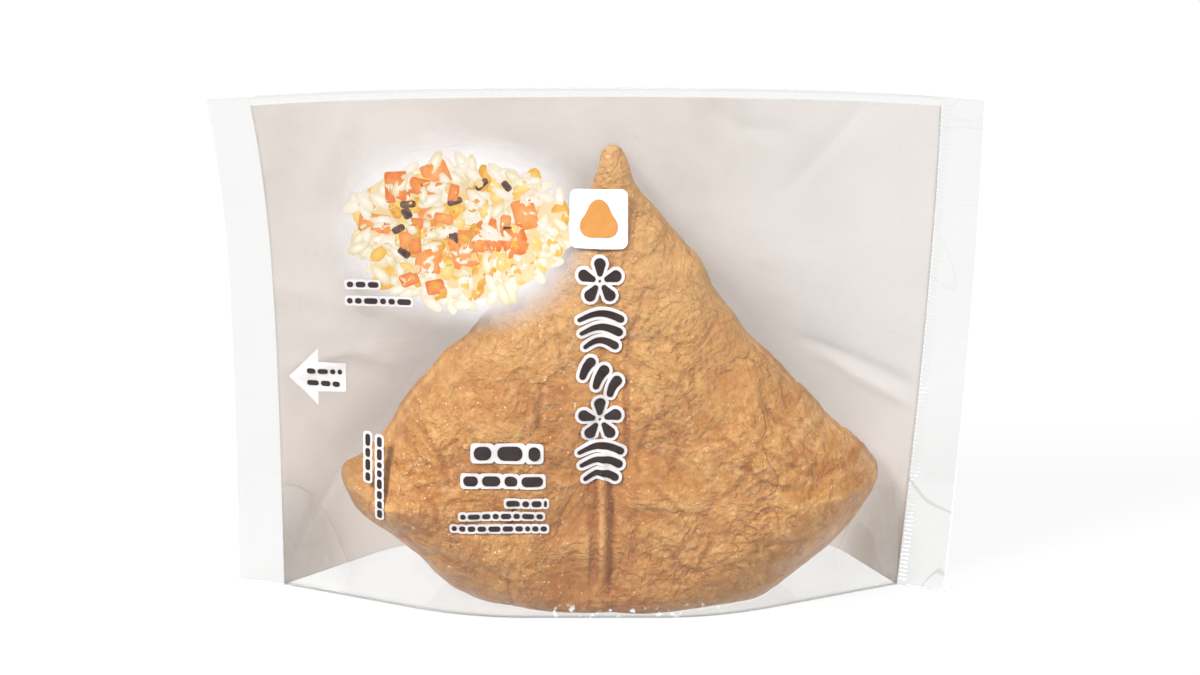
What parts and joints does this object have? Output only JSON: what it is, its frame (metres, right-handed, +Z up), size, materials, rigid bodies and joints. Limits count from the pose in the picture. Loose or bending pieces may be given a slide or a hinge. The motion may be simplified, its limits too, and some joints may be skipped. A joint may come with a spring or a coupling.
{
  "type": "inari sushi",
  "caption": "Large triangular fried tofu pouch of sushi rice, standing in a clear side-sealed film bag with a bottom gusset and an off-white back panel",
  "frame": {"origin": "middle of the box round the filled bag, on the plane of its flat base", "axes": "+X to the right seen from the printed front, which faces -Y; +Y towards the back panel; +Z up to the folded top edge"},
  "size_m": [0.1442, 0.0354, 0.1],
  "materials": {
    "film": "clear glossy film",
    "back_print": "off-white print on clear film",
    "front_print": "flat fields of print on clear film",
    "fried_tofu": "moist fried tofu skin"
  },
  "bodies": {
    "root": {"filled_bag": "film"}
  },
  "joints": []
}
